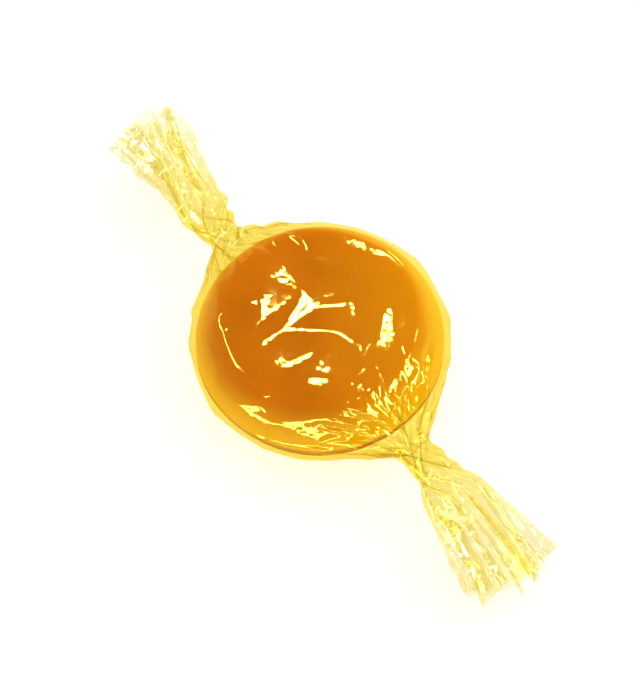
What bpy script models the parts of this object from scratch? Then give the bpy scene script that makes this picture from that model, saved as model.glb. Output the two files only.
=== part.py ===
"""A butterscotch disc in its clear twist wrap.

The hard candy is a turned disc. The wrap is one tube of film that is stretched over the disc,
gathered and twisted at both ends, and fanned out past each twist, where the tube stays open.
Lengths are in metres. X runs along the twists, and the wrapped disc lies flat on Z = 0.
"""

import math
from collections import namedtuple

import bpy
import numpy as np

# The hard candy.
CANDY_RADIUS = 0.0125
CANDY_THICKNESS = 0.0100
FLAT_RADIUS = 0.0065  # the level middle of each face
FACE_RADIUS = 0.0097  # where a face turns into the bevelled rim
FACE_FALL = 0.0003  # how far a face falls from its middle to the rim
SIDE_HALF_HEIGHT = 0.0006  # of the blunt edge where the two bevels meet
BEVEL_POWER = 1.35  # 1 would be a straight bevel and 2 a round one
CANDY_SIDES = 48
BEVEL_STEPS = 5
FACE_STEPS = 2

# The film tube. Its wall is thicker than real film, so that it is a sound solid.
FILM_GAP = 0.0004  # clear of the candy
FILM_WALL = 0.0003
FILM_GROW = FILM_GAP + FILM_WALL  # the tube's outer skin beyond the candy
AXIS_HEIGHT = CANDY_THICKNESS / 2 + FILM_GROW
AROUND = 40  # points round every loop of the tube
BODY_STEPS = 22  # loops between the two necks
TWIST_STEPS = 20  # loops from a neck to its fan's edge
HULL_SAMPLES = 60

# The gathers, where spare film runs into a neck.
PLEATS = 8
PLEAT_DEPTH = 0.0007
PLEAT_START = 0.0080  # distance from the middle at which they begin
PLEAT_WANDER = 0.35  # how unevenly they are spaced

# The necks, which wind up as they leave the candy's rim.
NECK_START = 0.0150
NECK_LENGTH = 0.0030
NECK_RADIUS = 0.0017
NECK_WAIST = 0.15  # share of the radius lost halfway along
BORE_SHARE = 0.45  # of the neck's radius
WIND_LENGTH = 0.0090

# The fans, where the tube flattens into a fluted slot.
FAN_HALF_HEIGHT = 0.0009
SLOT_SHARE = 0.55  # inner height of the flattened tube as a share of the outer
FAN_EDGE_WALL = 0.0004
FAN_FLARE = 0.75  # below 1 a fan widens early
FLUTE_DEPTH = 0.0015
FLUTE_WANDER = 0.34
EDGE_RAGGEDNESS = 0.06  # unevenness of the film's cut edge, as a share of a fan's length

Twist = namedtuple("Twist", "side length width turns tilt droop sway curl flutes phase")
TWISTS = (
    Twist(side=-1, length=0.0165, width=0.0120, turns=0.5, tilt=math.radians(30),
          droop=0.0004, sway=0.0016, curl=0.0014, flutes=3.0, phase=0.6),
    Twist(side=1, length=0.0175, width=0.0135, turns=0.5, tilt=math.radians(-22),
          droop=0.0008, sway=-0.0012, curl=-0.0012, flutes=3.5, phase=2.1),
)

CANDY_COLOUR = (0.62, 0.22, 0.015)
FILM_COLOUR = (0.90, 0.68, 0.10)


def clear_scene():
    for old in list(bpy.data.objects):
        bpy.data.objects.remove(old, do_unlink=True)


def make_material(name, colour, roughness, alpha=1.0):
    material = bpy.data.materials.new(name)
    material.use_nodes = True
    shader = material.node_tree.nodes["Principled BSDF"]
    shader.inputs["Base Color"].default_value = (*colour, 1.0)
    shader.inputs["Roughness"].default_value = roughness
    shader.inputs["Metallic"].default_value = 0.0
    shader.inputs["Alpha"].default_value = alpha
    return material


def make_object(name, points, faces, material, crease_angle):
    mesh = bpy.data.meshes.new(name)
    mesh.from_pydata([tuple(point) for point in points], [], faces)
    mesh.materials.append(material)
    mesh.shade_smooth()
    mesh.set_sharp_from_angle(angle=math.radians(crease_angle))
    made = bpy.data.objects.new(name, mesh)
    bpy.context.scene.collection.objects.link(made)
    return made


def smooth_step(value):
    """0 below 0, 1 above 1 and an even rise between."""
    held = np.clip(value, 0.0, 1.0)
    return held * held * (3 - 2 * held)


def zigzag(turns):
    """A straight-sided wave between -1 and 1 that repeats at each whole turn."""
    return 4 * np.abs(turns - np.floor(turns + 0.5)) - 1


def half_height(radius, grow):
    """Half the disc's height at a radius, with the disc grown by a margin all round."""
    face = CANDY_THICKNESS / 2 + grow
    fallen = np.clip((radius - FLAT_RADIUS) / (FACE_RADIUS - FLAT_RADIUS), 0.0, 1.0)
    across = np.clip((radius - FACE_RADIUS) / (CANDY_RADIUS + grow - FACE_RADIUS), 0.0, 1.0)
    bevel = (1 - across**BEVEL_POWER) ** (1 / BEVEL_POWER)
    drop = face - FACE_FALL - SIDE_HALF_HEIGHT - grow
    return face - FACE_FALL * fallen**2 - drop * (1 - bevel)


def candy_profile():
    """(radius, height) from the middle of the top face to the middle of the bottom one."""
    radii = [0.0, FLAT_RADIUS]
    for step in range(1, FACE_STEPS + 1):
        radii.append(FLAT_RADIUS + (FACE_RADIUS - FLAT_RADIUS) * step / FACE_STEPS)
    for step in range(1, BEVEL_STEPS + 1):
        turn = math.pi / 2 * step / BEVEL_STEPS
        radii.append(FACE_RADIUS + (CANDY_RADIUS - FACE_RADIUS) * math.sin(turn))
    top = [(radius, float(half_height(radius, 0.0))) for radius in radii]
    return top + [(radius, -height) for radius, height in reversed(top)]


def make_candy():
    """The disc, turned from its profile about an upright axis."""
    profile = candy_profile()
    rings = profile[1:-1]
    points = [(0.0, 0.0, AXIS_HEIGHT + profile[0][1])]
    for radius, height in rings:
        for side in range(CANDY_SIDES):
            turn = 2 * math.pi * side / CANDY_SIDES
            points.append((radius * math.cos(turn), radius * math.sin(turn), AXIS_HEIGHT + height))
    points.append((0.0, 0.0, AXIS_HEIGHT + profile[-1][1]))
    last = len(points) - 1
    faces = []
    for side in range(CANDY_SIDES):
        after = (side + 1) % CANDY_SIDES
        faces.append((0, 1 + side, 1 + after))
        for ring in range(len(rings) - 1):
            upper = 1 + ring * CANDY_SIDES
            lower = upper + CANDY_SIDES
            faces.append((upper + side, lower + side, lower + after, upper + after))
        base = 1 + (len(rings) - 1) * CANDY_SIDES
        faces.append((base + side, last, base + after))
    material = make_material("candy", CANDY_COLOUR, roughness=0.15)
    return make_object("candy", points, faces, material, crease_angle=40)


def disc_reach(along, angle, grow):
    """How far the grown disc reaches from the X axis, at a distance along it and an angle round it."""
    low = np.zeros(np.broadcast(along, angle).shape)
    high = low + CANDY_RADIUS + grow
    for _ in range(40):
        middle = (low + high) / 2
        radius = np.hypot(along, middle * np.cos(angle))
        within = np.abs(middle * np.sin(angle)) < half_height(radius, grow)
        within &= radius < CANDY_RADIUS + grow
        low = np.where(within, middle, low)
        high = np.where(within, high, middle)
    return low


def taut_reach(along, angle, grow, neck_radius):
    """disc_reach with film drawn straight from the disc to the neck."""
    tangents = np.linspace(0.0, min(along, CANDY_RADIUS), HULL_SAMPLES)[:, None]
    reach = disc_reach(tangents, angle[None, :], grow)
    share = (along - tangents) / (NECK_START - tangents)
    drawn = reach + (neck_radius - reach) * share
    return np.maximum(drawn.max(axis=0), disc_reach(along, angle, grow))


def winding(twist, along):
    """How far a twist has turned the film at this distance from the middle."""
    total = twist.turns * 2 * math.pi + twist.tilt
    return twist.side * total * smooth_step((along - CANDY_RADIUS) / WIND_LENGTH)


def pleat(twist, turn):
    """Height of the gathers round the tube, from 0 to 1."""
    wander = PLEAT_WANDER * np.sin(2 * turn + twist.phase)
    return (1 + zigzag(PLEATS * turn / (2 * math.pi) + wander)) / 2


def body_loop(twist, along, turn, inner):
    """Points of a loop over the disc or its shoulder, where the film runs taut to the neck."""
    gathered = smooth_step((along - PLEAT_START) / (NECK_START - PLEAT_START))
    grow, neck, ridge = FILM_GROW, NECK_RADIUS, PLEAT_DEPTH * gathered
    if inner:
        grow, neck, ridge = FILM_GAP, NECK_RADIUS * BORE_SHARE, ridge * (1 + (BORE_SHARE - 1) * gathered)
    flatness = AXIS_HEIGHT / (CANDY_RADIUS + FILM_GROW)
    squeeze = flatness + (1 - flatness) * smooth_step(along / NECK_START)
    angle = np.arctan2(squeeze * np.sin(turn), np.cos(turn)) + winding(twist, along)
    reach = taut_reach(along, angle, grow, neck) + ridge * pleat(twist, turn)
    x = np.full(len(turn), twist.side * along)
    return np.stack([x, reach * np.cos(angle), AXIS_HEIGHT + reach * np.sin(angle)], axis=1)


def flute(twist, across):
    """Rise and fall of the fan's folds from one side (-1) to the other (1)."""
    wander = FLUTE_WANDER * np.sin(2.3 * math.pi * across + twist.phase)
    depth = 0.8 + 0.2 * np.sin(4.1 * across + twist.phase)
    return zigzag(twist.flutes * (across + 1) / 2 + wander) * depth * (1 - across**4)


def twist_loop(twist, past_neck, turn, inner):
    """Points of a loop in a neck or fan: a pleated circle that flattens into a fluted slot."""
    fan = max(past_neck - NECK_LENGTH, 0.0) / (twist.length - NECK_LENGTH)
    opened = float(smooth_step(fan * 2))
    radius = NECK_RADIUS * (1 - NECK_WAIST * math.sin(math.pi * min(past_neck / NECK_LENGTH, 1.0)))
    half_width = radius + (twist.width / 2 - radius) * fan**FAN_FLARE
    half_high = radius + (FAN_HALF_HEIGHT - radius) * opened
    ridge = PLEAT_DEPTH * (1 - opened) * pleat(twist, turn)

    # Across runs from 1 at one edge of the flattened tube to -1 at the other, and back.
    even = np.abs((turn / math.pi) % 2 - 1) * 2 - 1
    across = np.cos(turn) + (even - np.cos(turn)) * opened
    flat = np.sign(np.sin(turn)) * np.sqrt(1 - even**4)
    upright = np.sin(turn) + (flat - np.sin(turn)) * opened
    y, z = (half_width + ridge) * across, (half_high + ridge) * upright
    if inner:
        y = y * (BORE_SHARE + (1 - BORE_SHARE) * opened) - FAN_EDGE_WALL * opened * even**15
        z = z * (BORE_SHARE + (SLOT_SHARE - BORE_SHARE) * opened)

    # Both skins follow the same folds, as straight lines between the outer skin's points.
    half = slice(0, len(turn) // 2 + 1)
    knots = half_width * across[half][::-1]
    folds = FLUTE_DEPTH * flute(twist, even[half][::-1])
    z = z + fan * np.interp(y, knots, folds) + twist.curl * fan**2 * ((y / half_width) ** 2 - 1 / 3)

    wound = winding(twist, NECK_START + past_neck)
    arc = np.sqrt(1 - (even * twist.width / 2 / twist.length) ** 2)
    ragged = EDGE_RAGGEDNESS * np.sin(5 * turn + twist.phase) * np.sin(3 * turn)
    reach = past_neck * (1 + fan * (arc * (1 + ragged) - 1))
    return np.stack([
        twist.side * (NECK_START + reach),
        y * math.cos(wound) - z * math.sin(wound) + twist.sway * fan**1.5,
        AXIS_HEIGHT + y * math.sin(wound) + z * math.cos(wound) - twist.droop * fan**2,
    ], axis=1)


def tube_loops(inner):
    """Loops of points from the left fan's edge to the right one's."""
    turn = 2 * math.pi * np.arange(AROUND) / AROUND
    left, right = TWISTS
    steps = [step / TWIST_STEPS for step in range(TWIST_STEPS + 1)]
    loops = [twist_loop(left, left.length * share, turn, inner) for share in reversed(steps)]
    for step in range(1, BODY_STEPS):
        # Loops crowd towards the necks, where the film turns most sharply.
        x = NECK_START * math.sin(math.pi / 2 * (2 * step / BODY_STEPS - 1))
        loops.append(body_loop(right if x > 0 else left, abs(x), turn, inner))
    loops += [twist_loop(right, right.length * share, turn, inner) for share in steps]
    return np.array(loops)


def make_wrapper():
    """The film tube: an outer and an inner skin in the same triangles, joined at both open ends."""
    outer = tube_loops(inner=False)
    inner = tube_loops(inner=True)
    outer[:, :, 2] = np.maximum(outer[:, :, 2], 0.0)
    points = np.concatenate([outer.reshape(-1, 3), inner.reshape(-1, 3)])
    skin = len(outer) * AROUND
    faces = []
    for start in range(0, skin - AROUND, AROUND):
        for side in range(AROUND):
            a, b = start + side, start + (side + 1) % AROUND
            c, d = b + AROUND, a + AROUND
            # Each four-sided patch is split along its shorter diagonal.
            if np.linalg.norm(points[a] - points[c]) < np.linalg.norm(points[b] - points[d]):
                split = [(a, b, c), (a, c, d)]
            else:
                split = [(a, b, d), (b, c, d)]
            faces += split
            faces += [tuple(skin + corner for corner in reversed(face)) for face in split]
    last = skin - AROUND
    for side in range(AROUND):
        after = (side + 1) % AROUND
        faces.append((side, skin + side, skin + after, after))
        faces.append((last + side, last + after, skin + last + after, skin + last + side))
    material = make_material("film", FILM_COLOUR, roughness=0.1, alpha=0.4)
    return make_object("wrapper", points, faces, material, crease_angle=30)


clear_scene()
make_candy()
make_wrapper()
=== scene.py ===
"""The looks of a butterscotch disc in its clear twist wrap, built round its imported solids.

Lengths are in metres. X runs along the twists, and the wrapped disc lies flat on Z = 0.
"""

import math
from collections import namedtuple

import bpy
import numpy as np
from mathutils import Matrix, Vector
from mathutils.geometry import delaunay_2d_cdt


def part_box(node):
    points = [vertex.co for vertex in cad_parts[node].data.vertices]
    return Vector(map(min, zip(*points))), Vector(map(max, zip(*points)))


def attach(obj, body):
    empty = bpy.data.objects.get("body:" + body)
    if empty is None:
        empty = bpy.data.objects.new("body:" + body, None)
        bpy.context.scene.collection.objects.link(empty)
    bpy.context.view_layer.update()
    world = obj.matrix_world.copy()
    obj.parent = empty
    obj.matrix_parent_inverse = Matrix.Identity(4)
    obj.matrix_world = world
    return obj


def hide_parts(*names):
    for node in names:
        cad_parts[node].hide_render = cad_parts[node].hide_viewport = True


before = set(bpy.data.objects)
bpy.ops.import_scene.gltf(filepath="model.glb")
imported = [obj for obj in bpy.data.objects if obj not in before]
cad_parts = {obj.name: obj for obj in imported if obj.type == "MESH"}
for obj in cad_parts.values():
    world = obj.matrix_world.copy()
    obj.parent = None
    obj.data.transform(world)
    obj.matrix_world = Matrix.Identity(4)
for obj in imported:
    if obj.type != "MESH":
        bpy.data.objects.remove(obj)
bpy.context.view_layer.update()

# The candy, as the frame holds it.
CANDY_LOW, CANDY_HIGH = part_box("candy")
CANDY_RADIUS = CANDY_HIGH.x
CANDY_THICKNESS = CANDY_HIGH.z - CANDY_LOW.z
AXIS_HEIGHT = (CANDY_LOW.z + CANDY_HIGH.z) / 2
FLAT_RADIUS = 0.0065
FACE_RADIUS = 0.0097
FACE_FALL = 0.0003
SIDE_HALF_HEIGHT = 0.0006
BEVEL_POWER = 1.35
CANDY_SIDES = 160
FACE_RINGS = 21
BEVEL_RINGS = 39
SIDE_RINGS = 5
UNEVENNESS = ((0.00005, 2, 0.7), (0.00003, 5, 2.0))  # depth, waves round the disc, phase

# The film, which is one thin skin.
FILM_GROW = 0.00038  # beyond the candy
FILM_RADIUS = CANDY_RADIUS + FILM_GROW
FILM_BASE = 0.00003  # height of its underside above the floor
AROUND = 400  # points in each loop of the tube
TURN = 2 * math.pi * np.arange(AROUND) / AROUND
BODY_STEPS = 230
BODY_EVENNESS = 0.45  # 1 would space its loops evenly, and 0 crowd them at the necks
TWIST_STEPS = 220
HULL_SAMPLES = 80
HULL_DIRECTIONS = 1441
HALVINGS = 36  # in the search for how far the disc reaches

# The necks and fans, as in the solid wrapper.
NECK_START = 0.0150
NECK_LENGTH = 0.0030
NECK_RADIUS = 0.0017
NECK_WAIST = 0.15
NECK_APPROACH = 0.0125  # where the shoulder begins to turn into the neck
WIND_LENGTH = 0.0090
FAN_HALF_HEIGHT = 0.0007
FAN_FLARE = 0.75
FLUTE_DEPTH = 0.0015
FLUTE_DEPTH_TURN = 4.1  # radians of the wave in its depth, from the middle to one side
FLUTE_WANDER = 0.34
FLUTE_WANDER_TURN = 2.3 * math.pi
EDGE_RAGGEDNESS = 0.03

# Where along the film, or out from the middle, something sets in: its start and its width.
SHOULDER = 0.0075, 0.004
SHOULDER_FOLDS = 0.0105, 0.003
SIDE = 0.0095, 0.002
GATHERS = 0.0085, NECK_START - 0.0085
NECK = NECK_APPROACH, NECK_START - NECK_APPROACH
FINE_CRUMPLE = 0.006, 0.005
OPENED_FAN = NECK_LENGTH, 0.005

# Relief of the film over the disc, its rim and the shoulders next to the necks.
FACET_DEPTH = 0.00024
SHOULDER_FACET_GAIN = 0.00006
SIDE_FACET_LOSS = 0.00010
SHOULDER_CREASE_DEPTH = 0.00013
FINE_DEPTH = 0.00001
SHOULDER_FINE_GAIN = 0.00036
SIDE_FINE_GAIN = 0.00004
NECK_FINE_LOSS = 0.6
GATHER_DEPTH = 0.00045
NECK_GATHER_GAIN = 0.00026
GATHER_MIDDLE = 0.25
LIFT_LIMIT = 0.00032
SHOULDER_LIFT_GAIN = 0.0005
SIDE_LIFT_GAIN = 0.0001
RIM_BAND_HALF_HEIGHT = 0.0024
RIM_CORNER_SEED = 8
RIM_CORNER_COUNT = 12
RIM_CORNER_SCATTER = 0.30
RIM_CORNER_LIMIT = 0.00045
RIM_DRAWN_IN = 0.00012
RIM_FOLD_HEIGHT = 0.0011  # above the middle of the rim
RIM_FOLD_HALF_WIDTH = 0.00035
RIM_FOLD_DEPTH = 0.00014

# Relief of the necks and fans.
RIDGE_DEPTH = 0.00071
NECK_FINE_DEPTH = 0.00036
NECK_FACET_DEPTH = 0.00030
FAN_RIDGE_LOSS = 0.8
FAN_LAYER_GAP = 0.00050
FAN_FACET_DEPTH = 0.00072
FAN_CREASE_DEPTH = 0.00034
FAN_FINE_DEPTH = 0.00040
FAN_RELIEF_POWER = 0.7
FOLD_GAP = 0.22  # gathers lower than this count as the fold between them
FAN_FOLD_LOSS = 0.4

# How folds, pleats and crumples are scattered.
THICK_GATHERS = 6
THIN_GATHERS = 18
GATHER_SCATTER = 0.4
THIN_GATHER_SHIFT = 0.02
THICK_WIDTHS, THIN_WIDTHS = (0.40, 0.62), (0.10, 0.26)  # radians
THICK_HEIGHTS, THIN_HEIGHTS = (0.6, 1.0), (0.25, 0.7)
THIN_NECK_LOSS = 0.8
THICK_SHOULDER_WIDTH = 0.45  # of its width in the neck
GATHER_START = 0.0102
SIDEWAYS_EARLIER = 0.0050
SCATTERED_EARLIER = 0.0030
GATHER_DRIFT = 0.22
KNIFE_PLEATS = 2
KNIFE_SCATTER = 0.5
KNIFE_OVERLAPS = (0.12, 0.36)  # of a pleat's own width
KNIFE_MIDDLES = (0.40, 0.65)
KNIFE_HEIGHTS = (0.5, 1.0)
WIDE_SPACING = 0.0036
FAN_SPACING = 0.0018
FAN_SPACING_REACHED = 0.006  # past the start of the neck
CRUMPLE_SCATTER = 0.42
RING_TURN_LIMIT = 6  # radians
FEWEST_ROUND = 5
NET_OVERLAP = 1.6 * math.pi  # copies of the points within this angle join the net up all round
NET_TOLERANCE = 1e-9
GRID_TOLERANCE = 1e-12
LEAST_AREA = 1e-16
EDGE_TOLERANCE = 1e-6
CREASE_LOSS = 0.6  # of the weakest crease

Twist = namedtuple("Twist", "name side length width turns tilt droop sway curl flutes phase seed")
TWISTS = (
    Twist("film_twist_left", side=-1, length=0.0165, width=0.0120, turns=0.5,
          tilt=math.radians(30), droop=0.0004, sway=0.0016, curl=0.0014,
          flutes=3.0, phase=0.6, seed=11),
    Twist("film_twist_right", side=1, length=0.0175, width=0.0135, turns=0.5,
          tilt=math.radians(-22), droop=0.0008, sway=-0.0012, curl=-0.0012,
          flutes=3.5, phase=2.1, seed=23),
)

# Colours of the film. A tint multiplies what is seen through one layer of it.
FILM_TINTS = (0.955, 0.875, 0.45, 1), (0.935, 0.830, 0.33, 1)
TIP_TINT = (0.974, 0.957, 0.79, 1)
TIP_FADE = 0.0165, 0.0270  # from where to where the tint turns to that of the tip
# Painted shade: olive along sharp folds and between gathers, partly the deeper tint of film doubled
# there.
FOLD_SHADE_TINT = (0.56, 0.49, 0.05, 1)
FOLD_SHADE_SHARPNESS = 2.5
FILM_LIGHT_TINT = (0.995, 0.965, 0.88, 1)
MIRROR_TINT = (1, 0.91, 0.16, 1)
WHITER_MIRROR_TINT = (1, 0.97, 0.66, 1)
MIRROR_SHARE = 0.07, 0.50  # seen square on, and at a grazing angle
FILM_GLOW = (1.0, 0.84, 0.10, 1)
GLOW_SHARE = 0.06

# Colours of the candy.
FACE_COLOURS = (0.420, 0.085, 0.001, 1), (0.740, 0.212, 0.001, 1)
# Painted light: lighter towards one side, as light shining through the candy from there.
LIT_SIDE_COLOUR = (0.680, 0.262, 0.001, 1)
LIT_SIDE_DIRECTION = (0.62, 0.78, 0)
LIT_SIDE_FADE = -0.0040, 0.0110
# Painted light: lighter towards the rim, as light shining through the thin bevel; the centre of
# this fade is offset so it starts sooner on one side.
PAINTED_BEVEL_LIGHT = (0.77, 0.43, 0.002, 1)
PAINTED_BEVEL_LIGHT_FADE = 0.0100, 0.0126
BEVEL_LIGHT_OFFSET = (0.0004, 0.0005, 0)
# Painted shade: a darker amber band round the lower rim, where less light reaches.
RIM_SHADE_COLOUR = (0.40, 0.125, 0.001, 1)
RIM_SHADE_RANGE = AXIS_HEIGHT - 0.0026, AXIS_HEIGHT + 0.0006
RIM_SHADE_STOPS = (0.0, 1.0), (0.05, 1.0), (0.42, 0.0), (0.66, 0.0), (0.88, 1.0), (1.0, 1.0)
CANDY_LIGHT_TINT = (1.0, 0.965, 0.89, 1)

# The stage.
FLOOR_REACH = 1.5
CAMERA_AZIMUTH = 52
CAMERA_ELEVATION = 61
CAMERA_DISTANCE = 0.30
CAMERA_LENS = 155
LOOK_AT = (0.0, 0.0, 0.0045)
LIGHT_DISTANCE = 0.45
WINDOW_DISTANCE = 0.112
SKY_STOPS = (0.0, 1.0), (0.13, 1.0), (0.30, 0.30), (0.65, 0.06)  # height, shade


def smooth_step(value):
    held = np.clip(value, 0.0, 1.0)
    return held * held * (3 - 2 * held)


def rise(value, start, width):
    """0 as far as start, 1 from start + width on, and smooth between them."""
    return smooth_step((value - start) / width)


def neck_share(along):
    """How far the film is on its way from the shoulder to the neck, from 0 to 1."""
    return rise(along, *NECK)


def zigzag(turns):
    """A straight-sided wave between -1 and 1 that repeats at each whole turn."""
    return 4 * np.abs(turns - np.floor(turns + 0.5)) - 1


def wrapped(angle):
    """The same angle between -pi and pi."""
    return (angle + math.pi) % (2 * math.pi) - math.pi


# ---------------------------------------------------------------- the candy


def half_height(radius, grow):
    """Half the disc's height at a radius, with the disc grown by a margin all round."""
    face = CANDY_THICKNESS / 2 + grow
    fallen = np.clip((radius - FLAT_RADIUS) / (FACE_RADIUS - FLAT_RADIUS), 0.0, 1.0)
    across = np.clip((radius - FACE_RADIUS) / (CANDY_RADIUS + grow - FACE_RADIUS), 0.0, 1.0)
    bevel = (1 - across**BEVEL_POWER) ** (1 / BEVEL_POWER)
    drop = face - FACE_FALL - SIDE_HALF_HEIGHT - grow
    return face - FACE_FALL * fallen**2 - drop * (1 - bevel)


def tube_faces(rows, columns):
    """Quads between the points of a grid whose last column joins up with its first."""
    row, column = np.meshgrid(np.arange(rows - 1), np.arange(columns), indexing="ij")
    after = (column + 1) % columns
    corners = [row * columns + column, row * columns + after,
               (row + 1) * columns + after, (row + 1) * columns + column]
    return np.stack(corners, axis=-1).reshape(-1, 4)


def add_mesh(name, points, faces, material, folds=None):
    """A smooth object; folds go into the attribute that the film's material reads for its painted
    fold shade.
    """
    mesh = bpy.data.meshes.new(name)
    mesh.from_pydata(points.reshape(-1, 3).tolist(), [], [tuple(face) for face in faces])
    if folds is not None:
        mesh.attributes.new("fold", "FLOAT", "POINT").data.foreach_set("value", folds.ravel())
    mesh.materials.append(material)
    mesh.shade_smooth()
    made = bpy.data.objects.new(name, mesh)
    bpy.context.scene.collection.objects.link(made)
    return made


def make_candy(material):
    """The disc, turned from its profile, with the slight unevenness of cast sugar."""
    spread = np.sin(np.linspace(0.0, math.pi / 2, BEVEL_RINGS + 1))
    radii = np.concatenate([
        np.linspace(0.0, FACE_RADIUS, FACE_RINGS + 1)[1:],
        FACE_RADIUS + (CANDY_RADIUS - FACE_RADIUS) * spread[1:],
    ])
    heights = half_height(radii, 0.0)
    side = np.linspace(SIDE_HALF_HEIGHT, -SIDE_HALF_HEIGHT, SIDE_RINGS + 2)[1:-1]
    profile_r = np.concatenate([radii, np.full(len(side), CANDY_RADIUS), radii[::-1]])
    profile_z = np.concatenate([heights, side, -heights[::-1]])
    turn = 2 * math.pi * np.arange(CANDY_SIDES) / CANDY_SIDES
    r, t = np.meshgrid(profile_r, turn, indexing="ij")
    z = np.repeat(profile_z[:, None], CANDY_SIDES, axis=1)
    uneven = sum(depth * np.sin(waves * t + phase) for depth, waves, phase in UNEVENNESS)
    reach = r * (1 - uneven / CANDY_RADIUS)
    points = np.stack([reach * np.cos(t), reach * np.sin(t), z + AXIS_HEIGHT], axis=-1)
    faces = tube_faces(len(profile_r), CANDY_SIDES)[:, ::-1].tolist()
    count = points.shape[0] * CANDY_SIDES
    middle = half_height(0.0, 0.0)
    centres = [[0, 0, AXIS_HEIGHT + middle], [0, 0, AXIS_HEIGHT - middle]]
    for j in range(CANDY_SIDES):
        k = (j + 1) % CANDY_SIDES
        faces.append((count, j, k))
        faces.append((count + 1, count - CANDY_SIDES + k, count - CANDY_SIDES + j))
    return add_mesh("candy_disc", np.concatenate([points.reshape(-1, 3), centres]), faces, material)


# ---------------------------------------------------------------- the film


def disc_reach(along, angle):
    """How far the film's form of the disc reaches from the X axis, at a distance along it."""
    low = np.zeros(np.broadcast(along, angle).shape)
    high = low + FILM_RADIUS
    for _ in range(HALVINGS):
        middle = (low + high) / 2
        radius = np.hypot(along, middle * np.cos(angle))
        within = np.abs(middle * np.sin(angle)) < half_height(radius, FILM_GROW)
        within &= radius < FILM_RADIUS
        low = np.where(within, middle, low)
        high = np.where(within, high, middle)
    return low


HULL_ANGLES = np.linspace(-math.pi, math.pi, HULL_DIRECTIONS)
HULL_TANGENTS = np.linspace(0.0, FILM_RADIUS, HULL_SAMPLES)
HULL_REACH = disc_reach(HULL_TANGENTS[:, None], HULL_ANGLES[None, :])


def taut_reach(along, angle):
    """disc_reach with film drawn straight from the disc to the neck."""
    tangents = np.minimum(HULL_TANGENTS, along)[:, None]
    share = (along - tangents) / (NECK_START - tangents)
    reach = np.where(HULL_TANGENTS[:, None] <= along, HULL_REACH, 0.0)
    drawn = (reach + (NECK_RADIUS - reach) * share).max(axis=0)
    own = disc_reach(along, HULL_ANGLES)
    return np.interp(wrapped(angle), HULL_ANGLES, np.maximum(drawn, own))


def winding(twist, along):
    """The angle by which a twist has turned the film, at a distance from the middle."""
    total = twist.turns * 2 * math.pi + twist.tilt
    return twist.side * total * rise(along, CANDY_RADIUS, WIND_LENGTH)


class Pleats:
    """Sharp gathers round one end of the tube; a few thick ones go on through the neck."""

    def __init__(self, seed):
        draw = np.random.default_rng(seed)
        count = THICK_GATHERS + THIN_GATHERS
        even = np.concatenate([
            np.arange(THICK_GATHERS) / THICK_GATHERS,
            np.arange(THIN_GATHERS) / THIN_GATHERS + THIN_GATHER_SHIFT,
        ])
        scatter = draw.uniform(-GATHER_SCATTER, GATHER_SCATTER, count) / (2 * count)
        self.centre = 2 * math.pi * (even + scatter)
        self.thick = np.arange(count) < THICK_GATHERS
        self.width = np.where(
            self.thick, draw.uniform(*THICK_WIDTHS, count), draw.uniform(*THIN_WIDTHS, count))
        self.height = np.where(
            self.thick, draw.uniform(*THICK_HEIGHTS, count), draw.uniform(*THIN_HEIGHTS, count))
        earlier = SIDEWAYS_EARLIER * np.abs(np.cos(self.centre)) ** 3
        scatter = SCATTERED_EARLIER * draw.uniform(0, 1, count) ** 2
        self.start = GATHER_START - earlier - scatter
        self.drift = draw.uniform(-GATHER_DRIFT, GATHER_DRIFT, count)

    def at(self, turn, along):
        """Height of the gathers at an angle round the tube, from 0 to 1."""
        highest = np.zeros(len(turn))
        late = float(neck_share(along))
        for centre, thick, width, height, start, drift in zip(
                self.centre, self.thick, self.width, self.height, self.start, self.drift):
            ramp = float(rise(along, start, NECK_START - start))
            if not thick:
                ramp *= 1 - THIN_NECK_LOSS * late
            if ramp <= 0:
                continue
            away = np.abs(wrapped(turn - centre - drift * (1 - ramp)))
            widened = THICK_SHOULDER_WIDTH + (1 - THICK_SHOULDER_WIDTH) * late
            reach = width * widened if thick else width
            highest = np.maximum(highest, height * ramp * np.clip(1 - away / reach, 0, 1))
        return highest


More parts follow.
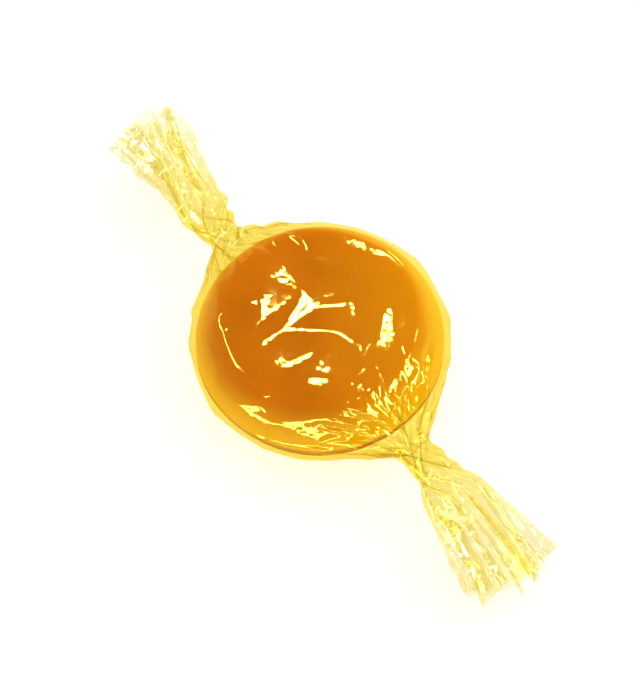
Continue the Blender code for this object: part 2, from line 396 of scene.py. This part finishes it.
class Crumple:
    """Film over points scattered round a tube: flat triangles between them, some edges creased.

    The points are about spacing(length) apart round the tube, and stretch times that along it.
    """

    def __init__(self, seed, lengths, spacing, stretch, radius):
        draw = np.random.default_rng(seed)
        sites = []
        position = lengths[0] - 2 * stretch * spacing(lengths[0])
        while position < lengths[-1] + 2 * stretch * spacing(lengths[-1]):
            pitch = spacing(position)
            count = max(FEWEST_ROUND, round(2 * math.pi * radius / pitch))
            scatter = draw.uniform(-CRUMPLE_SCATTER, CRUMPLE_SCATTER, count)
            around = (np.arange(count) + scatter) * 2 * math.pi / count
            scatter = draw.uniform(-CRUMPLE_SCATTER, CRUMPLE_SCATTER, count)
            along = position + stretch * pitch * scatter
            around = wrapped(around + draw.uniform(0, RING_TURN_LIMIT))
            own = range(len(sites), len(sites) + count)
            sites += zip(along, around, draw.uniform(-1, 1, count), own)
            position += stretch * pitch
        placed = [(a / stretch, (t + k) * radius, h, own) for a, t, h, own in sites
                  for k in (-2 * math.pi, 0.0, 2 * math.pi) if abs(t + k) < NET_OVERLAP]
        net = delaunay_2d_cdt([Vector(p[:2]) for p in placed], [], [], 0, NET_TOLERANCE)
        origin = [placed[o[0]] for o in net[3]]
        self.corners = np.array([(*net[0][i], origin[i][2]) for i in range(len(net[0]))])
        self.triangles = net[2]
        strength = draw.uniform(0, 1, (len(sites), len(sites)))
        self.edges = []
        for a, b in net[1]:
            first, last = sorted((origin[a][3], origin[b][3]))
            self.edges.append((a, b, strength[first, last]))
        self.u = np.asarray(lengths) / stretch
        self.v = wrapped(TURN) * radius
        self.order = np.argsort(self.v)
        self.v_sorted = self.v[self.order]

    def window(self, low, high):
        """Row slice and column indices of the grid's points between two corners."""
        i0, i1 = np.searchsorted(self.u, (low[0], high[0] + GRID_TOLERANCE))
        j0, j1 = np.searchsorted(self.v_sorted, (low[1], high[1] + GRID_TOLERANCE))
        return slice(i0, i1), self.order[j0:j1]

    def offsets(self, rows, columns, origin):
        """How far the grid's points in a window lie from a point, along and round the tube."""
        return np.meshgrid(self.u[rows] - origin[0], self.v[columns] - origin[1], indexing="ij")

    def facets(self):
        """Heights from -1 to 1 over the grid."""
        found = np.zeros((len(self.u), len(self.v)))
        for corners in self.triangles:
            tri = self.corners[list(corners)]
            rows, columns = self.window(tri.min(axis=0), tri.max(axis=0))
            du, dv = self.offsets(rows, columns, tri[0])
            (ax, ay, ah), (bx, by, bh) = tri[1] - tri[0], tri[2] - tri[0]
            area = ax * by - ay * bx
            if not du.size or abs(area) < LEAST_AREA:
                continue
            # The shares of the triangle's two sides that lead to each grid point.
            p, q = (du * by - dv * bx) / area, (ax * dv - ay * du) / area
            inside = (p > -EDGE_TOLERANCE) & (q > -EDGE_TOLERANCE) & (p + q < 1 + EDGE_TOLERANCE)
            height = tri[0, 2] + p * ah + q * bh
            found[rows, columns] = np.where(inside, height, found[rows, columns])
        return found

    def creases(self, share, width):
        """Heights from 0 to 1 of ridges along this share of the net's edges."""
        found = np.zeros((len(self.u), len(self.v)))
        for a, b, strength in self.edges:
            if strength > share:
                continue
            start, end = self.corners[a, :2], self.corners[b, :2]
            run = end - start
            half = width * (0.5 + strength / share)
            low, high = np.minimum(start, end), np.maximum(start, end)
            rows, columns = self.window(low - half, high + half)
            du, dv = self.offsets(rows, columns, start)
            if not du.size:
                continue
            along = np.clip((du * run[0] + dv * run[1]) / (run @ run), 0, 1)
            away = np.hypot(du - along * run[0], dv - along * run[1])
            ridge = np.clip(1 - away / half, 0, 1) * (1 - CREASE_LOSS * strength / share)
            found[rows, columns] = np.maximum(found[rows, columns], ridge)
        return found


def soften(heights, steps):
    """Heights averaged over neighbours up to this many grid steps away, twice."""
    whole = 2 * steps + 1
    for _ in range(2):
        heights = sum(np.roll(heights, k, axis=1) for k in range(-steps, steps + 1)) / whole
        padded = np.pad(heights, ((steps, steps), (0, 0)), mode="edge")
        heights = sum(padded[k:k + len(heights)] for k in range(whole)) / whole
    return heights


PLEATS = {twist.side: Pleats(twist.seed) for twist in TWISTS}


def rim_corners():
    """Corners of the many-sided outline that taut film takes round the rim."""
    draw = np.random.default_rng(RIM_CORNER_SEED)
    scatter = draw.uniform(-RIM_CORNER_SCATTER, RIM_CORNER_SCATTER, RIM_CORNER_COUNT)
    return np.sort((np.arange(RIM_CORNER_COUNT) + scatter) * 2 * math.pi / RIM_CORNER_COUNT)


RIM_CORNERS = rim_corners()


def rim_stand_off(place):
    """How far the film stands off the rim at an angle about Z: most at a corner, nil halfway."""
    place = place % (2 * math.pi)
    index = np.searchsorted(RIM_CORNERS, place)
    before, after = RIM_CORNERS[index - 1], RIM_CORNERS[index % len(RIM_CORNERS)]
    middle = before + ((after - before) % (2 * math.pi)) / 2
    return CANDY_RADIUS * (1 / np.cos(wrapped(place - middle)) - 1)


def body_loop(x, facets, creases, fine):
    """Points of a loop over the disc or its shoulder, where the film runs taut to the neck."""
    twist = TWISTS[1] if x > 0 else TWISTS[0]
    along = abs(x)
    flatness = AXIS_HEIGHT / FILM_RADIUS
    squeeze = flatness + (1 - flatness) * smooth_step(along / NECK_START)
    angle = np.arctan2(squeeze * np.sin(TURN), np.cos(TURN)) + winding(twist, along)
    reach = taut_reach(along, angle)
    y, z = reach * np.cos(angle), reach * np.sin(angle)
    near_neck = neck_share(along)
    shoulder = rise(along, *SHOULDER)
    side = rise(np.hypot(x, y), *SIDE)

    amount = FACET_DEPTH + SHOULDER_FACET_GAIN * shoulder * (1 - near_neck)
    amount = amount - SIDE_FACET_LOSS * side * (1 - shoulder)
    lift = amount * facets + SHOULDER_CREASE_DEPTH * shoulder * (1 - near_neck) * creases
    amount = FINE_DEPTH + SHOULDER_FINE_GAIN * shoulder + SIDE_FINE_GAIN * side
    lift += amount * (1 - NECK_FINE_LOSS * near_neck) * fine
    band = np.clip(1 - np.abs(z) / RIM_BAND_HALF_HEIGHT, 0, 1) * side * (1 - near_neck)
    corner = np.minimum(rim_stand_off(np.arctan2(y, x)), RIM_CORNER_LIMIT)
    lift += band * (corner - RIM_DRAWN_IN)
    fold = np.clip(1 - np.abs(z - RIM_FOLD_HEIGHT) / RIM_FOLD_HALF_WIDTH, 0, 1)
    lift += RIM_FOLD_DEPTH * fold * side * (1 - near_neck)
    depth = GATHER_DEPTH + NECK_GATHER_GAIN * rise(along, *GATHERS)
    lift += depth * (PLEATS[twist.side].at(TURN, along) - GATHER_MIDDLE * near_neck)
    most = LIFT_LIMIT + SHOULDER_LIFT_GAIN * shoulder + SIDE_LIFT_GAIN * side
    reach = reach + np.clip(lift, -LIFT_LIMIT, most)
    return np.stack([np.full(AROUND, x), reach * np.cos(angle), reach * np.sin(angle)], axis=1)


def flute(twist, across):
    """Rise and fall of the fan's folds from one side (-1) to the other (1)."""
    wander = FLUTE_WANDER * np.sin(FLUTE_WANDER_TURN * across + twist.phase)
    depth = 0.8 + 0.2 * np.sin(FLUTE_DEPTH_TURN * across + twist.phase)
    return zigzag(twist.flutes * (across + 1) / 2 + wander) * depth * (1 - across**4)


def knife_pleats(seed):
    """Knots of pleats in one sheet of a fan, which doubles back on itself as it crosses the fan."""
    draw = np.random.default_rng(seed)
    edges = np.linspace(-1, 1, KNIFE_PLEATS + 1)
    edges[1:-1] += draw.uniform(-KNIFE_SCATTER, KNIFE_SCATTER, KNIFE_PLEATS - 1) / KNIFE_PLEATS
    knots, across, lift = [-1.0], [-1.0], [0.0]
    for left, right in zip(edges[:-1], edges[1:]):
        step = right - left
        over = draw.uniform(*KNIFE_OVERLAPS) * step
        middle = left + draw.uniform(*KNIFE_MIDDLES) * step
        high = draw.uniform(*KNIFE_HEIGHTS)
        knots += [middle - 0.05 * step, middle + 0.10 * step, right]
        across += [middle + over / 2, middle - over / 2, right]
        lift += [high, high * 0.3, 0.0]
    return knots, across, lift


def twist_loop(twist, past_neck, facets, creases, fine):
    """Points of a loop in a neck or fan: a pleated circle that flattens into a folded slot."""
    fan = max(past_neck - NECK_LENGTH, 0.0) / (twist.length - NECK_LENGTH)
    opened = float(smooth_step(fan * 2))
    waist = NECK_WAIST * math.sin(math.pi * min(past_neck / NECK_LENGTH, 1.0))
    radius = NECK_RADIUS * (1 - waist)
    half_width = radius + (twist.width / 2 - radius) * fan**FAN_FLARE
    half_high = radius + (FAN_HALF_HEIGHT - radius) * opened
    pleats = PLEATS[twist.side].at(TURN, NECK_START)
    ridge = RIDGE_DEPTH * (pleats - GATHER_MIDDLE) * (1 - FAN_RIDGE_LOSS * opened)
    ridge += (NECK_FINE_DEPTH * fine + NECK_FACET_DEPTH * facets) * (1 - opened)

    even = np.abs((TURN / math.pi) % 2 - 1) * 2 - 1
    upper = np.sin(TURN) >= 0
    top, base = knife_pleats(twist.seed + 1), knife_pleats(twist.seed + 2)
    folded = np.where(upper, np.interp(even, *top[:2]), np.interp(even, *base[:2]))
    layer = np.where(upper, np.interp(even, top[0], top[2]), -np.interp(even, base[0], base[2]))
    across = np.cos(TURN) + (even - np.cos(TURN)) * opened
    spread = across + (folded - even) * opened
    flat = np.sign(np.sin(TURN)) * np.sqrt(1 - even**4)
    upright = np.sin(TURN) + (flat - np.sin(TURN)) * opened
    y, z = (half_width + ridge) * spread, (half_high + ridge) * upright
    z = z + FAN_LAYER_GAP * fan * layer
    crease = FAN_CREASE_DEPTH * creases * np.sign(upright + 1e-9)
    z = z + fan**FAN_RELIEF_POWER * (FAN_FACET_DEPTH * facets + crease + FAN_FINE_DEPTH * fine)

    curl = twist.curl * fan**2 * (spread**2 - 1 / 3)
    z = z + FLUTE_DEPTH * fan * flute(twist, spread) + curl
    wound = winding(twist, NECK_START + past_neck)
    arc = np.sqrt(1 - (even * twist.width / 2 / twist.length) ** 2)
    ragged = EDGE_RAGGEDNESS * np.sin(5 * TURN + twist.phase) * np.sin(3 * TURN)
    reach = past_neck * (1 + fan * (arc * (1 + ragged) - 1))
    return np.stack([
        twist.side * (NECK_START + reach),
        y * math.cos(wound) - z * math.sin(wound) + twist.sway * fan**1.5,
        y * math.sin(wound) + z * math.cos(wound) - twist.droop * fan**2,
    ], axis=1)


def settle(points):
    """Loops about the X axis moved up to its height, with the underside laid on the floor."""
    lowest = CANDY_THICKNESS / 2 + FILM_GROW
    z = points[..., 2]
    stretched = z * (AXIS_HEIGHT - FILM_BASE) / lowest
    z = np.where((z < 0) & (np.abs(points[..., 0]) < NECK_START), stretched, z)
    points[..., 2] = np.maximum(z + AXIS_HEIGHT, FILM_BASE)
    return points


def fold_shade_lines(twist, along, creases, in_neck):
    """How sharply a loop of film is folded, from 0 to 1: at creases and between gathers, where the
    film's painted fold shade goes.
    """
    gathers = PLEATS[twist.side].at(TURN, min(along, NECK_START))
    return np.maximum(creases, in_neck * np.clip(1 - gathers / FOLD_GAP, 0, 1))


def near_ends(low, high):
    """A spacing that is wide over the disc and narrow near the twists."""
    return lambda x: high + (low - high) * float(rise(abs(x), *FINE_CRUMPLE))


def in_fan(x):
    """A spacing that is wide in the neck and narrow in the fan."""
    narrowed = float(smooth_step(x / FAN_SPACING_REACHED))
    return WIDE_SPACING - (WIDE_SPACING - FAN_SPACING) * narrowed


def make_body_film(material):
    """The film over the disc and its two shoulders."""
    share = 2 * np.arange(BODY_STEPS + 1) / BODY_STEPS - 1
    crowded = (1 - BODY_EVENNESS) * np.sin(math.pi / 2 * share)
    stations = NECK_START * (crowded + BODY_EVENNESS * share)
    large = Crumple(5, stations, near_ends(0.0020, 0.0029), stretch=1.0, radius=0.0095)
    small = Crumple(6, stations, near_ends(0.0010, 0.0022), stretch=1.3, radius=0.0085)
    facets, fine = soften(large.facets(), steps=1), small.facets()
    creases = large.creases(share=0.55, width=0.0005)
    points, folds = [], []
    for i, x in enumerate(stations):
        points.append(body_loop(x, facets[i], creases[i], fine[i]))
        twist = TWISTS[1] if x > 0 else TWISTS[0]
        shoulder = rise(abs(x), *SHOULDER_FOLDS)
        folds.append(fold_shade_lines(twist, abs(x), shoulder * creases[i], shoulder))
    faces = tube_faces(len(points), AROUND)
    return add_mesh("film_body", settle(np.array(points)), faces, material, np.array(folds))


def make_twist_film(twist, material):
    """The film of one neck and fan."""
    lengths = twist.length * np.arange(TWIST_STEPS + 1) / TWIST_STEPS
    round_tube = twist.width / math.pi
    large = Crumple(twist.seed + 3, lengths, lambda x: WIDE_SPACING, stretch=1.5, radius=round_tube)
    small = Crumple(twist.seed + 4, lengths, in_fan, stretch=1.2, radius=round_tube)
    facets, fine = large.facets(), small.facets()
    creases = small.creases(share=0.3, width=0.00035)
    points, folds = [], []
    for i, x in enumerate(lengths):
        points.append(twist_loop(twist, x, facets[i], creases[i], fine[i]))
        opened = rise(x, *OPENED_FAN)
        kept = (1 - FAN_FOLD_LOSS * opened) * creases[i]
        folds.append(fold_shade_lines(twist, NECK_START, kept, 1 - opened))
    faces = tube_faces(len(points), AROUND)
    if twist.side < 0:
        faces = faces[:, ::-1]
    return add_mesh(twist.name, settle(np.array(points)), faces, material, np.array(folds))


# ---------------------------------------------------------------- materials


def new_material(name):
    material = bpy.data.materials.new(name)
    material.use_nodes = True
    material.node_tree.nodes.clear()
    return material, material.node_tree


def node(tree, kind, *values, settings=(), **named):
    """A node with its settings, and with values or other nodes' outputs put on its inputs."""
    made = tree.nodes.new(kind)
    for setting, value in dict(settings).items():
        setattr(made, setting, value)
    inputs = list(enumerate(values))
    inputs += [(name.replace("_", " "), value) for name, value in named.items()]
    for key, value in inputs:
        if isinstance(value, bpy.types.NodeSocket):
            tree.links.new(value, made.inputs[key])
        else:
            made.inputs[key].default_value = value
    return made


def maths(tree, operation, *values):
    return node(tree, "ShaderNodeMath", *values, settings={"operation": operation}).outputs[0]


def vector_maths(tree, operation, *values):
    """The outputs of a sum with vectors, which are Vector and Value."""
    made = node(tree, "ShaderNodeVectorMath", *values, settings={"operation": operation})
    return made.outputs


def between(tree, factor, a, b):
    """The colour between a and b."""
    mixed = node(tree, "ShaderNodeMix", settings={"data_type": "RGBA"}, Factor=factor, A=a, B=b)
    return mixed.outputs["Result"]


def ranged(tree, value, start, end, low=0.0, high=1.0, kind="LINEAR"):
    """What runs from low to high while the value goes from start to end."""
    made = node(tree, "ShaderNodeMapRange", settings={"interpolation_type": kind}, Value=value,
                From_Min=start, From_Max=end, To_Min=low, To_Max=high)
    return made.outputs["Result"]


def shades(tree, value, stops, kind="LINEAR"):
    """A grey that follows stops, each a value and a shade; the first stop's value is 0."""
    made = node(tree, "ShaderNodeValToRGB", value)
    made.color_ramp.interpolation = kind
    elements = made.color_ramp.elements
    elements.remove(elements[1])
    for number, (place, shade) in enumerate(stops):
        stop = elements.new(place) if number else elements[0]
        stop.color = (shade, shade, shade, 1)
    return made.outputs["Color"]


def mixed_shader(tree, share, first, second):
    return node(tree, "ShaderNodeMixShader", share, first, second).outputs[0]


def paler_for_light(tree, shader, tint):
    """The shader, but light on its way to another surface goes straight through with this tint."""
    through = node(tree, "ShaderNodeBsdfTransparent", Color=tint).outputs[0]
    path = tree.nodes.new("ShaderNodeLightPath")
    for kind in ("Is Diffuse Ray", "Is Shadow Ray"):
        shader = mixed_shader(tree, path.outputs[kind], shader, through)
    return shader


def film_material():
    """Clear yellow cellophane, palest at its ends, and olive along its sharp folds as painted fold
    shade, partly the deeper tint of film doubled there.

    It tints what is seen through it, mirrors a little and glows faintly.
    """
    material, tree = new_material("yellow_film")
    place = node(tree, "ShaderNodeTexCoord").outputs["Object"]
    noise = node(tree, "ShaderNodeTexNoise", Vector=place, Scale=900.0, Detail=3.0)
    tint = between(tree, noise.outputs["Fac"], *FILM_TINTS)
    parts = node(tree, "ShaderNodeSeparateXYZ", place)
    outward = maths(tree, "ABSOLUTE", parts.outputs["X"])
    towards_end = ranged(tree, outward, *TIP_FADE)
    tint = between(tree, towards_end, tint, TIP_TINT)
    # Painted shade: olive where the fold attribute is high, at creases and between gathers.
    fold = node(tree, "ShaderNodeAttribute", settings={"attribute_name": "fold"})
    sharp = maths(tree, "POWER", fold.outputs["Fac"], FOLD_SHADE_SHARPNESS)
    tint = between(tree, sharp, tint, FOLD_SHADE_TINT)
    seen = node(tree, "ShaderNodeBsdfTransparent", Color=tint).outputs[0]
    clear = paler_for_light(tree, seen, FILM_LIGHT_TINT)

    wrinkle = node(tree, "ShaderNodeTexVoronoi", settings={"feature": "DISTANCE_TO_EDGE"},
                   Vector=place, Scale=1100.0)
    bump = node(tree, "ShaderNodeBump", Strength=0.25, Distance=0.00006,
                Height=wrinkle.outputs["Distance"])
    facing = node(tree, "ShaderNodeLayerWeight", Blend=0.5).outputs["Facing"]
    grazing = maths(tree, "POWER", facing, 8.0)
    whiter = maths(tree, "MAXIMUM", towards_end, grazing)
    mirror = node(tree, "ShaderNodeBsdfGlossy", Roughness=0.055, Normal=bump.outputs["Normal"],
                  Color=between(tree, whiter, MIRROR_TINT, WHITER_MIRROR_TINT))
    share = ranged(tree, maths(tree, "POWER", facing, 4.0), 0.0, 1.0, *MIRROR_SHARE)

    glow = node(tree, "ShaderNodeBsdfTranslucent", Color=FILM_GLOW).outputs[0]
    body = mixed_shader(tree, GLOW_SHARE, clear, glow)
    surface = mixed_shader(tree, share, body, mirror.outputs[0])
    node(tree, "ShaderNodeOutputMaterial", Surface=surface)
    return material


def candy_material():
    """Amber hard candy: deep on the faces, with painted light on the lit side and on the bevel, and
    painted shade round the lower rim.
    """
    material, tree = new_material("butterscotch")
    place = node(tree, "ShaderNodeTexCoord").outputs["Object"]
    noise = node(tree, "ShaderNodeTexNoise", Vector=place, Scale=130.0, Detail=4.0, Distortion=0.8)
    colour = between(tree, noise.outputs["Fac"], *FACE_COLOURS)
    # Painted light: the candy turns lighter towards one side, as if lit through from there.
    aside = vector_maths(tree, "DOT_PRODUCT", place, LIT_SIDE_DIRECTION)["Value"]
    painted_lit_side = ranged(tree, aside, *LIT_SIDE_FADE, kind="SMOOTHSTEP")
    colour = between(tree, painted_lit_side, colour, LIT_SIDE_COLOUR)
    # Painted light on the bevel, as light shining through the thin rim, from an offset centre.
    flat = vector_maths(tree, "MULTIPLY_ADD", place, (1, 1, 0), BEVEL_LIGHT_OFFSET)["Vector"]
    radius = vector_maths(tree, "LENGTH", flat)["Value"]
    bevel_light = ranged(tree, radius, *PAINTED_BEVEL_LIGHT_FADE, kind="SMOOTHSTEP")
    colour = between(tree, bevel_light, colour, PAINTED_BEVEL_LIGHT)
    # Painted shade: a darker amber band round the lower rim, where less light reaches.
    parts = node(tree, "ShaderNodeSeparateXYZ", place)
    height = ranged(tree, parts.outputs["Z"], *RIM_SHADE_RANGE)
    colour = between(tree, shades(tree, height, RIM_SHADE_STOPS, "EASE"), RIM_SHADE_COLOUR, colour)
    shader = node(tree, "ShaderNodeBsdfPrincipled", Base_Color=colour, Roughness=0.25,
                  Specular_IOR_Level=0.0, Subsurface_Weight=0.6,
                  Subsurface_Radius=(1.0, 0.42, 0.08), Subsurface_Scale=0.004)
    surface = paler_for_light(tree, shader.outputs[0], CANDY_LIGHT_TINT)
    node(tree, "ShaderNodeOutputMaterial", Surface=surface)
    return material


def floor_material():
    material, tree = new_material("pale_floor")
    place = node(tree, "ShaderNodeTexCoord").outputs["Object"]
    noise = node(tree, "ShaderNodeTexNoise", Vector=place, Scale=30.0, Detail=2.0)
    tone = ranged(tree, noise.outputs["Fac"], 0.0, 1.0, 0.90, 0.92)
    shader = node(tree, "ShaderNodeBsdfPrincipled", Base_Color=tone, Roughness=0.9,
                  Specular_IOR_Level=0.1)
    node(tree, "ShaderNodeOutputMaterial", Surface=shader.outputs[0])
    return material


# ---------------------------------------------------------------- stage


def aim(thing, target):
    direction = Vector(target) - thing.location
    thing.rotation_euler = direction.to_track_quat("-Z", "Y").to_euler()


def from_view(right, away, height):
    """A point given as seen by the camera: to its right, away from it, and up."""
    turn = math.radians(CAMERA_AZIMUTH)
    cos, sin = math.cos(turn), math.sin(turn)
    return (right * cos - away * sin, right * sin + away * cos, height)


def add_camera():
    camera = bpy.data.cameras.new("camera")
    camera.lens = CAMERA_LENS
    camera.clip_start = 0.01
    made = bpy.data.objects.new("camera", camera)
    elevation = math.radians(CAMERA_ELEVATION)
    flat, high = CAMERA_DISTANCE * math.cos(elevation), CAMERA_DISTANCE * math.sin(elevation)
    made.location = Vector(LOOK_AT) + Vector(from_view(0, -flat, high))
    bpy.context.scene.collection.objects.link(made)
    aim(made, LOOK_AT)
    bpy.context.scene.camera = made


def add_light(name, turn, elevation, size, brightness, distance=LIGHT_DISTANCE):
    """A light, placed by its degrees right of straight ahead of the camera and above the floor."""
    light = bpy.data.lights.new(name, "AREA")
    light.shape = "RECTANGLE"
    light.size, light.size_y = size
    light.energy = brightness * math.pi * size[0] * size[1]
    made = bpy.data.objects.new(name, light)
    side, high = math.radians(turn), math.radians(elevation)
    made.location = distance * Vector(from_view(
        math.sin(side) * math.cos(high), math.cos(side) * math.cos(high), math.sin(high)))
    bpy.context.scene.collection.objects.link(made)
    aim(made, (0, 0, 0))
    return made


def add_glint(name, turn, elevation, size, brightness, distance=LIGHT_DISTANCE):
    """A lamp that shows only as a reflection."""
    add_light(name, turn, elevation, size, brightness, distance).visible_diffuse = False


def add_world():
    """Even white light, but for mirror reflections dim overhead and bright near the horizon."""
    world = bpy.data.worlds.new("studio")
    bpy.context.scene.world = world
    world.use_nodes = True
    tree = world.node_tree
    tree.nodes.clear()
    even = node(tree, "ShaderNodeBackground", Color=(1, 1, 1, 1), Strength=1.13)
    place = node(tree, "ShaderNodeTexCoord").outputs["Generated"]
    parts = node(tree, "ShaderNodeSeparateXYZ", place)
    sky = shades(tree, parts.outputs["Z"], SKY_STOPS)
    mirrored = node(tree, "ShaderNodeBackground", Color=sky, Strength=0.9)
    path = tree.nodes.new("ShaderNodeLightPath")
    surface = mixed_shader(
        tree, path.outputs["Is Glossy Ray"], even.outputs[0], mirrored.outputs[0])
    node(tree, "ShaderNodeOutputWorld", Surface=surface)


def add_floor(material):
    corners = [(-1, -1, 0), (1, -1, 0), (1, 1, 0), (-1, 1, 0)]
    floor = add_mesh("floor", FLOOR_REACH * np.array(corners), [(0, 1, 2, 3)], material)


film = film_material()
candy_piece = make_candy(candy_material())
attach(candy_piece, "root")
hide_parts("candy")
for piece in [make_body_film(film)] + [make_twist_film(twist, film) for twist in TWISTS]:
    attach(piece, "root")
    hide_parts("wrapper")

add_floor(floor_material())
add_world()
key = add_light("key", turn=60, elevation=38, size=(0.30, 0.30), brightness=1.5)
key.visible_glossy = False
add_glint("window_left", turn=-9, elevation=64, size=(0.006, 0.009), brightness=115,
          distance=WINDOW_DISTANCE)
add_glint("window_right", turn=0, elevation=64.5, size=(0.004, 0.009), brightness=115,
          distance=WINDOW_DISTANCE)
add_glint("high_right", turn=34, elevation=62, size=(0.03, 0.05), brightness=60)
add_glint("far", turn=12, elevation=43, size=(0.07, 0.025), brightness=60)
add_glint("left", turn=-78, elevation=40, size=(0.20, 0.04), brightness=30)
add_glint("right", turn=80, elevation=42, size=(0.20, 0.04), brightness=30)
add_glint("near_right", turn=118, elevation=34, size=(0.14, 0.10), brightness=50)
add_glint("high_left", turn=-45, elevation=52, size=(0.035, 0.035), brightness=45)
add_glint("near_left", turn=-118, elevation=44, size=(0.05, 0.03), brightness=40)
add_glint("near", turn=152, elevation=50, size=(0.04, 0.03), brightness=40)
add_glint("far_low", turn=25, elevation=16, size=(0.10, 0.03), brightness=30)
for turn in (178, -140, 136):
    add_glint(f"front_{turn}", turn=turn, elevation=9, size=(0.34, 0.035), brightness=24)
add_camera()
scene = bpy.context.scene
scene.view_settings.view_transform = "Standard"
scene.cycles.transparent_max_bounces = 40
